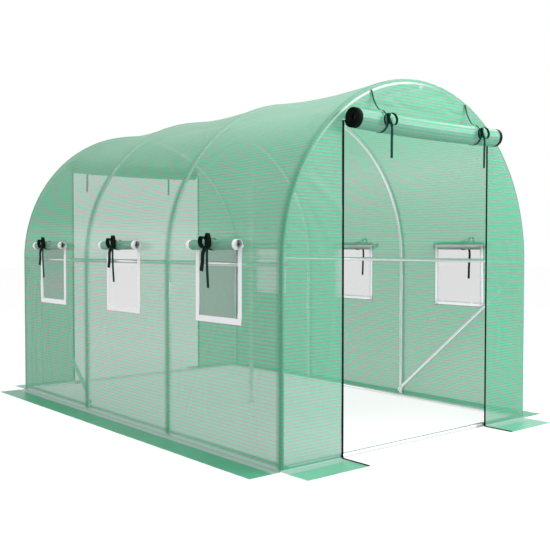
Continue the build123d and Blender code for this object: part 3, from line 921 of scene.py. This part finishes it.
def make_braces():
    """Round tubes whose ends are crushed flat against the outer side, with rounded tips."""
    flat, half_width, reach, tip_radius = 0.0015, 0.015, 0.016, 0.009
    for end, name in ENDS:
        foot, head = brace_ends(end, RAIL_LINE)
        length = np.linalg.norm(head - foot)
        ahead = (head - foot) / length
        out = np.array([float(-end), 0, 0])
        wide = np.cross(ahead, out)
        shapes = []
        for place in (-reach, -reach + 0.003, -reach + 0.008, 0.0, 0.018, 0.026, 0.036, 0.046, 0.052):
            short = max(0.0, tip_radius - reach - place) / tip_radius
            tip = min(1.0, sqrt(max(0.02, 1 - short ** 2)))
            swell = np.clip((place - 0.018) / 0.034, 0, 1)
            swell = swell * swell * (3 - 2 * swell)
            width = tip * (half_width + (TUBE - half_width) * swell)
            shapes.append((place, width, flat + (TUBE - flat) * swell))
        shapes += [(length - p, w, t) for p, w, t in reversed(shapes)]
        rings = [
            foot + ahead * place + out * (TUBE - thick) + ring(TUBE_SIDES, wide * width, out * thick)
            for place, width, thick in shapes
        ]
        part = (np.concatenate(rings), ring_faces(len(rings), TUBE_SIDES))
        steel_piece(name + "_brace_tube", [part], name + "_brace")


def make_ridge_prop():
    """The pole under the ridge, on its foot disc, with a plug joint at half height."""
    disc = 0.003
    top = SPRING + RAIL_LINE - TUBE * 0.8
    places, sizes = tube_profile(top - disc, [(SPRING + RAIL_LINE) / 2 - disc], 0.5)
    pole = tube_rings([(0, 0, place + disc) for place in places], sizes)
    foot = (
        (0.0, 0.0245), (0.0004, 0.025), (0.0024, 0.025), (disc, 0.0243), (0.0031, 0.014), (0.006, 0.0128),
    )
    foot = tube_rings([(0, 0, z) for z, _ in foot], [radius for _, radius in foot], 32)
    steel_piece("ridge_prop_tube", [pole, foot], "ridge_prop")


def bolt(centre, axis):
    """A hexagon bolt head on its washer, standing on a tube along an axis."""
    axis = np.asarray(axis, float)
    side = square_to(axis)
    parts = []
    for sides, radius, low, high in ((16, 0.0065, -0.0005, 0.0010), (6, 0.0050, 0.0010, 0.0048)):
        around_axis = ring(sides, side, np.cross(axis, side)) * radius
        levels = ((low, 1.0), (high - 0.0006, 1.0), (high, 0.88))
        points = np.concatenate([centre + axis * z + around_axis * share for z, share in levels])
        parts.append((points, ring_faces(len(levels), sides)))
    return parts


def make_bolts():
    parts = []
    for y in HOOPS:
        for side in (-1, 1):
            for z in (SPRING, TUBE):
                parts += bolt(np.array([side * (RAIL_LINE - TUBE), y, z]), (-side, 0, 0))
        if y in HOOPS[1:-1]:
            parts += bolt(np.array([0, y, SPRING + RAIL_LINE - TUBE]), (0, 0, -1))
    for end in (-1, 1):
        for place in brace_ends(end, RAIL_LINE + TUBE - 0.003):
            parts += bolt(place, (end, 0, 0))
    steel_piece("frame_bolts", parts)


# Tapes and ribbons
TAPE = 0.0012
LOOP_TAPE = 0.0014


def ribbon(route, across, width, thickness, kind=0):
    """A flat tape along a route, whose width runs in the direction across."""
    route = np.asarray(route, float)
    ahead = np.gradient(route, axis=0)
    ahead /= np.linalg.norm(ahead, axis=1, keepdims=True)
    across = across - ahead * (ahead @ np.asarray(across, float))[:, None]
    across /= np.linalg.norm(across, axis=1, keepdims=True)
    face = np.cross(ahead, across)
    w, t = width / 2, thickness / 2
    low = ((-w, -t), (-w * 0.6, -t), (w * 0.6, -t), (w, -t))
    corners = low + tuple((x, t) for x, _ in reversed(low))
    rings = [[r + a * x + f * y for x, y in corners] for r, a, f in zip(route, across, face)]
    points = np.concatenate(rings)
    return points, ring_faces(len(route), len(corners)), kind


def smooth_route(*points, count=40):
    """Even points along a smooth curve through a few chosen ones."""
    points = np.asarray(points, float)
    padded = np.vstack([2 * points[0] - points[1], points, 2 * points[-1] - points[-2]])
    spans = len(points) - 1
    t = np.linspace(0, 1, max(2, count // spans), endpoint=False)[:, None]
    result = []
    for p0, p1, p2, p3 in zip(padded, padded[1:], padded[2:], padded[3:]):
        squared = (2 * p0 - 5 * p1 + 4 * p2 - p3) * t**2
        cubed = (3 * p1 - p0 - 3 * p2 + p3) * t**3
        result.append(0.5 * (2 * p1 + (p2 - p0) * t + squared + cubed))
    return np.vstack(result + [points[-1:]])


# Windows
def make_window_trim():
    for side, name in SIDES:
        parts = []
        for index, place in enumerate(BAYS):
            parts += border_parts(side, place)
            girths = steps(0.02, *girth_range(CLEAR_BOTTOM - SCREEN_LAP, CLEAR_TOP + SCREEN_LAP, side))
            lengths = steps(0.02, place - CLEAR_HALF - SCREEN_LAP, place + CLEAR_HALF + SCREEN_LAP)
            points, uv = cover_grid(girths, lengths, 0.0001)
            screen_name = f"{name}_screen_{index + 1}"
            faces = grid_faces(*points.shape[:2])
            mesh = make_mesh(screen_name, points.reshape(-1, 3), faces, uv.reshape(-1, 2))
            screen = add_piece(screen_name, mesh, net)
            finish_piece(screen, "window_screen", name + "_window_screens")
        tape = white_tape if side < 0 else thin_tape
        borders = joined(name + "_window_tape", parts, tape, angle=0.9)
        finish_piece(borders, "window_tape", name + "_window_borders")


def border_parts(side, place):
    """Four strips of tape round a window that follow the wall's film, the upright ones on top."""
    low, top, tape, lap = 0.0003, 0.0016, 0.012, 0.0004
    strips = (
        (WINDOW_BOTTOM, CLEAR_BOTTOM, -WINDOW_HALF, WINDOW_HALF, top),
        (CLEAR_TOP, WINDOW_TOP, -WINDOW_HALF, WINDOW_HALF, top),
        (WINDOW_BOTTOM, WINDOW_TOP, -WINDOW_HALF, -CLEAR_HALF, top + lap),
        (WINDOW_BOTTOM, WINDOW_TOP, CLEAR_HALF, WINDOW_HALF, top + lap),
    )
    parts = []
    for bottom, high, start, end, outward in strips:
        girths = steps(tape, *girth_range(bottom, high, side))
        lengths = steps(tape, place + start, place + end)
        top_face, under = [cover_grid(girths, lengths, level)[0] for level in (outward, low)]
        parts.append(closed_plate(top_face, under))
    return parts


def closed_plate(top, bottom):
    """A closed thin plate between two grids of points."""
    rows, columns = top.shape[:2]
    count = rows * columns
    quads = grid_faces(rows, columns)
    faces = quads.tolist() + (quads[:, ::-1] + count).tolist()
    index = np.arange(count).reshape(rows, columns)
    rim = [*index[0, :], *index[1:, -1], *index[-1, -2::-1], *index[-2:0:-1, 0]]
    faces += [[b, a, a + count, b + count] for a, b in zip(rim, rim[1:] + rim[:1])]
    return np.concatenate([top.reshape(-1, 3), bottom.reshape(-1, 3)]), faces


# Rolled sheets
def spiral(outer, inner, turns, start):
    """Points of a spiral in a plane, from its outer end inwards, starting at an angle."""
    angle = np.linspace(0, turns * 2 * pi, int(turns * 36) + 1)
    radius = outer + (inner - outer) * angle / angle[-1]
    return np.stack([radius * np.cos(start + angle), radius * np.sin(start + angle)], -1)


def spiral_roll(
    name, outer, inner, turns, start, length, edge, taped, gauge, wobble, seed, materials, matrix,
):
    """A rolled sheet about its own X axis, then placed by a matrix.

    Its ends have edge bands of the second material over the taped length from the sheet's outer
    end, and of the third beyond it. Wobble is how far its turns stray.
    """
    rng = np.random.default_rng(seed)
    path = spiral(outer - gauge / 2, inner, turns, start)
    half = length / 2
    body = np.linspace(-half + edge + 0.001, half - edge - 0.001, 26)
    places = np.concatenate([[-half, -half + edge], body, [half - edge, half]])
    shift = np.convolve(rng.normal(0, wobble, len(path)), np.ones(9) / 9, "same")
    rows = []
    for x in places:
        lean = wobble * np.sin(x / length * 5 + np.arange(len(path)) * 0.11)
        scale = 1 + (shift + lean) / outer
        ragged = shift * 1.5 if abs(x) > half - 1e-6 else 0
        rows.append(np.stack([np.full(len(path), x) + ragged, path[:, 0] * scale, path[:, 1] * scale], -1))
    points = np.stack(rows)
    run = np.concatenate([[0], np.cumsum(np.linalg.norm(np.diff(path, axis=0), axis=1))])
    uv = np.stack(np.broadcast_arrays(places[:, None], run[None, :]), -1)
    mesh = make_mesh(name, points.reshape(-1, 3), grid_faces(*points.shape[:2]), uv.reshape(-1, 2))
    roll = add_piece(name, mesh, *materials)
    at_edge = np.abs((places[:-1] + places[1:]) / 2) > half - edge
    kinds = np.where(at_edge[:, None], np.where(run[None, 1:] < taped, 1, 2), 0)
    mesh.polygons.foreach_set("material_index", kinds.astype(np.int32).ravel())
    thicken = roll.modifiers.new("gauge", "SOLIDIFY")
    thicken.thickness = gauge
    thicken.offset = 0
    graph = bpy.context.evaluated_depsgraph_get()
    mesh = bpy.data.meshes.new_from_object(roll.evaluated_get(graph))
    roll.modifiers.clear()
    roll.data = mesh
    mesh.transform(matrix)
    return roll


def make_window_rolls():
    for side, name in SIDES:
        turn = Matrix.Rotation(-side * pi / 2, 4, "Z")
        for index, place in enumerate(BAYS):
            roll = spiral_roll(
                f"{name}_window_roll_{index + 1}", outer=WINDOW_ROLL, inner=0.011, turns=2.6,
                start=radians(185), length=WINDOW_ROLL_LENGTH, edge=0.028, taped=0.24, gauge=0.0022,
                wobble=0.0007, seed=20 + index + 5 * side, materials=(flap_film, white_tape, grey_tape),
                matrix=Matrix.Translation((side * WINDOW_ROLL_X, place, WINDOW_ROLL_Z)) @ turn,
            )
            finish_piece(roll, "rolled_film", name + "_window_rolls")


# Doors
def roll_line(x):
    """Height of the sagging roll's line at x, seen from its own end."""
    return DOOR_ROLL_Z - 0.0139 - 0.0038 * x + 0.0254 * x * x


def facing(end):
    """A half turn for what is at the front, and none at the back."""
    return Matrix.Rotation(pi if end < 0 else 0, 4, "Z")


def make_door_rolls():
    for end, name in ENDS:
        move = Matrix.Translation((-end * DOOR_ROLL_GAP / 2, end * DOOR_ROLL_Y, 0))
        roll = spiral_roll(
            name + "_door_roll_film", outer=DOOR_ROLL, inner=0.016, turns=7.4, start=radians(190),
            length=DOOR_ROLL_LENGTH, edge=0.028, taped=9.9, gauge=0.0016, wobble=0.0012, seed=31 + end,
            materials=(roll_film, black_tape), matrix=move @ facing(end),
        )
        for point in roll.data.vertices:
            point.co.z += roll_line(-end * point.co.x)
        finish_piece(roll, "rolled_film", name + "_door_roll")


# Ties
MIRROR = Matrix.Scale(-1, 4, (1, 0, 0))


def around(radius, start, end, count):
    """Points round a circle in YZ: an angle of 0 faces outward, +Z is up."""
    angle = np.linspace(start, end, count)
    return np.stack([np.zeros(count), radius * np.cos(angle), radius * np.sin(angle)], -1)


def tape_loop(centre, half, knot, front, depth, width, lean):
    """A loop of tape that leaves a knot, stands out by its depth and comes back to the knot."""
    start = atan2((knot[1] - centre[1]) / half[1], (knot[0] - centre[0]) / half[0])
    turn = start + np.linspace(0.05, 2 * pi - 0.05, 34)
    far = (1 - np.cos(turn - start)) / 2
    pull = (1 - far) ** 3
    x = centre[0] + half[0] * np.cos(turn) + (knot[0] - centre[0] - half[0] * cos(start)) * pull
    z = centre[1] + half[1] * np.sin(turn) + (knot[1] - centre[1] - half[1] * sin(start)) * pull
    return ribbon(np.stack([x, front + depth * far, z], -1), (lean, 1, 0), width, LOOP_TAPE)


def knot_wrap(knot, front, width, size):
    """The short wrap of tape over a knot."""
    wrap = around(size, 0, 2 * pi, 14) + np.array([knot[0], front, knot[1]])
    return ribbon(wrap, (1, 0, 0), width, 0.005)


def window_tie(short):
    """A tape tied round a window's roll, in its own frame: X along the roll, Y outward, Z up.

    Without its short end the tape is all black.
    """
    front = WINDOW_ROLL + 0.012
    knot = (-0.006, -0.012)
    wrap = around(WINDOW_ROLL + 0.0015, radians(-160), radians(160), 40)
    long_end = smooth_route(
        (-0.010, front, -0.014), (-0.014, front + 0.004, -0.060), (-0.012, front + 0.001, -0.130),
        (-0.013, front - 0.004, -0.225),
    )
    parts = [
        ribbon(wrap, (1, 0, 0), 0.016, TAPE),
        tape_loop((0.018, 0.013), (0.029, 0.028), knot, front, 0.006, 0.024, 0.9),
        tape_loop((-0.024, 0.022), (0.019, 0.036), knot, front, 0.008, 0.018, 0.1),
        knot_wrap(knot, front, 0.020, 0.008),
        ribbon(long_end, (1, 0.1, 0), 0.019, TAPE, 1 if short else 0),
    ]
    if short:
        short_end = smooth_route(
            (0.004, front, -0.014), (0.016, front + 0.008, -0.045), (0.026, front + 0.004, -0.090),
            (0.0366, front + 0.004, -0.139),
        )
        parts.append(ribbon(short_end, (1, 0.15, 0.25), 0.027, LOOP_TAPE))
    return parts


def placed(parts, matrix):
    """Parts moved by a matrix, with their faces turned over where it mirrors them."""
    step = -1 if matrix.determinant() < 0 else 1
    turn = np.array(matrix)
    return [
        (points @ turn[:3, :3].T + turn[:3, 3], [face[::step] for face in faces], kind)
        for points, faces, kind in parts
    ]


def make_window_ties():
    parts = []
    for side in (-1, 1):
        for place, left_shift in zip(BAYS, (0.008, 0.009, 0.022)):
            shift = left_shift if side < 0 else -0.020
            matrix = Matrix.Translation((side * WINDOW_ROLL_X, place + shift, WINDOW_ROLL_Z))
            matrix = matrix @ Matrix.Rotation(-side * pi / 2, 4, "Z")
            parts += placed(window_tie(side < 0), matrix if side < 0 else matrix @ MIRROR)
    finish_piece(joined("window_tie_tapes", parts, black_tape, green_tape), "tie_tape", "window_ties")


def door_tie(shift, top):
    """A door's tie seen from the front: X right, Y outward from the film, Z up, at the roll's centre.

    Its tape hangs from the arch's seam, at shift and top, and goes over the roll to its knot.
    """
    back = -DOOR_ROLL + 0.002
    front = DOOR_ROLL + 0.004
    knot = (0.0, 0.029)
    down = smooth_route(
        (shift, back, top), (shift + 0.006, back + 0.012, top - 0.055), (shift + 0.010, -0.012, 0.070),
        (shift + 0.016, 0.014, 0.058), (-0.012, 0.042, 0.042), (0.0, 0.054, 0.024),
    )
    tail = smooth_route(
        (0.004, front, 0.016), (0.016, front + 0.008, -0.030), (0.020, front + 0.004, -0.100),
        (0.024, front, -0.188),
    )
    under = around(DOOR_ROLL + 0.002, radians(-135), radians(24), 30)
    return [
        ribbon(down, (1, 0, 0.1), 0.010, TAPE),
        ribbon(under, (1, 0, 0), 0.010, TAPE),
        tape_loop((0.028, 0.008), (0.025, 0.030), knot, front, 0.010, 0.013, 0.4),
        tape_loop((-0.018, 0.002), (0.017, 0.024), knot, front, 0.006, 0.017, -0.3),
        knot_wrap(knot, front, 0.014, 0.007),
        ribbon(tail, (1, 0.05, 0), 0.0165, TAPE),
    ]


def make_door_ties():
    parts = []
    for end in (-1, 1):
        for place in TIE_PLACES:
            line = roll_line(place)
            top = SPRING + sqrt(SEAM_RADIUS**2 - (place + TIE_SHIFT) ** 2) - line + 0.006
            move = Matrix.Translation((-end * place, end * DOOR_ROLL_Y, line))
            parts += placed(door_tie(TIE_SHIFT, top), move @ facing(end) @ MIRROR)
    finish_piece(joined("door_tie_tapes", parts, green_tape), "tie_tape", "door_ties")


def make_zips():
    """Black zip tape down each edge of the doorways and out over the skirts, with its coil."""
    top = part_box("front_door_zips")[1].z
    width, lift, coil_out = 0.013, 0.0022, 0.0012
    down = [(lift, z) for z in steps(0.05, top, FLAP_Z + BEND)]
    for turn in np.linspace(pi / 2, 0, 9)[1:]:
        out = BEND * (1 - sin(turn)) + lift * sin(turn)
        down.append((out, FLAP_Z + BEND * (1 - cos(turn)) + lift * cos(turn)))
    down += [(out, FLAP_Z + lift) for out in steps(0.03, BEND, BEND + FLAP)[1:]]
    for end, name in ENDS:
        parts = []
        for centre in (width / 2 - DOOR_HALF, DOOR_HALF - width / 2):
            route = np.array([(centre, end * (FILM_END + out), z) for out, z in down])
            on_ground = route[:, 2] <= FLAP_Z + lift + 0.0001
            outward = np.where(on_ground[:, None], (0, 0, coil_out), (0, end * coil_out, 0))
            parts.append(ribbon(route, (1, 0, 0), width, 0.0024))
            parts.append(tube_rings(route + outward, np.full(len(route), 0.0022), 8))
        finish_piece(joined(name + "_zip_tapes", parts, black_tape), "zip_tape", name + "_door_zips")


make_walls()
make_roofs()
make_ends()
make_skirts()
make_hoops()
make_long_rails()
make_end_rails()
make_braces()
make_ridge_prop()
make_bolts()
make_window_trim()
make_window_rolls()
make_window_ties()
make_door_rolls()
make_door_ties()
make_zips()


# Floor, world, lights and camera
def make_floor():
    g = Graph(bpy.data.materials.new("pale_floor"))
    body = g.shader("BsdfDiffuse", in_Color=(0.8, 0.8, 0.8, 1))
    shade = g.shader("BsdfDiffuse", in_Color=(0.34, 0.34, 0.34, 1))
    white = g.shader("Emission", in_Color=(1, 1, 1, 1), in_Strength=0.76)
    lit = g.node("AddShader")
    g.fed(lit, lit.inputs, (shade, white))
    material = g.done(g.mix_shader(g.seen(), body, lit.outputs[0]))
    size, drop = 40.0, -0.0006
    corners = [(-size, -size, drop), (size, -size, drop), (size, size, drop), (-size, size, drop)]
    floor = add_piece("floor", make_mesh("floor", corners, [(0, 1, 2, 3)], smooth=False), material)


def make_world():
    g = Graph(bpy.data.worlds.new("studio"))
    soft = g.shader("Background", in_Color=(1, 1, 1, 1), in_Strength=0.66)
    white = g.shader("Background", in_Color=(1, 1, 1, 1), in_Strength=1.0)
    bpy.context.scene.world = g.done(g.mix_shader(g.seen(), soft, white))


def make_light(name, place, target, width, height, power):
    data = bpy.data.lights.new(name, "AREA")
    data.shape = "RECTANGLE"
    data.size = width
    data.size_y = height
    data.energy = power
    lamp = add_to_scene(name, data)
    lamp.location = place
    lamp.rotation_euler = (Vector(target) - Vector(place)).to_track_quat("-Z", "Y").to_euler()


def make_camera():
    data = bpy.data.cameras.new("camera")
    data.lens = 53.97
    data.sensor_width = 36
    camera = add_to_scene("camera", data)
    camera.location = (-3.504, -4.503, 1.068)
    camera.rotation_euler = (radians(90 - 1.835), 0, radians(-39.55))
    bpy.context.scene.camera = camera


make_floor()
make_world()
make_light("key_light", (3.6, -5.4, 3.6), (0, -1.0, 0.9), 3.0, 3.0, 195)
make_light("front_overhead", (0.2, -2.7, 4.3), (0, -1.5, 1.4), 3.4, 0.6, 65)
make_light("roll_gleam", (3.0, -0.8, 4.25), (0, -1.6, 1.77), 0.7, 2.4, 26)
make_light("over_roof", (-2.2, -1.2, 5.6), (-0.4, -0.2, 1.9), 3.6, 3.6, 52)
make_light("left_gleam", (-4.6, 5.2, 1.9), (-1, 0.2, 1.0), 3.0, 1.2, 50)
make_light("back_overhead", (1.4, 3.4, 5.8), (0, -0.3, 1.6), 3.0, 1.6, 12)
make_camera()
bpy.context.scene.view_settings.view_transform = "Standard"
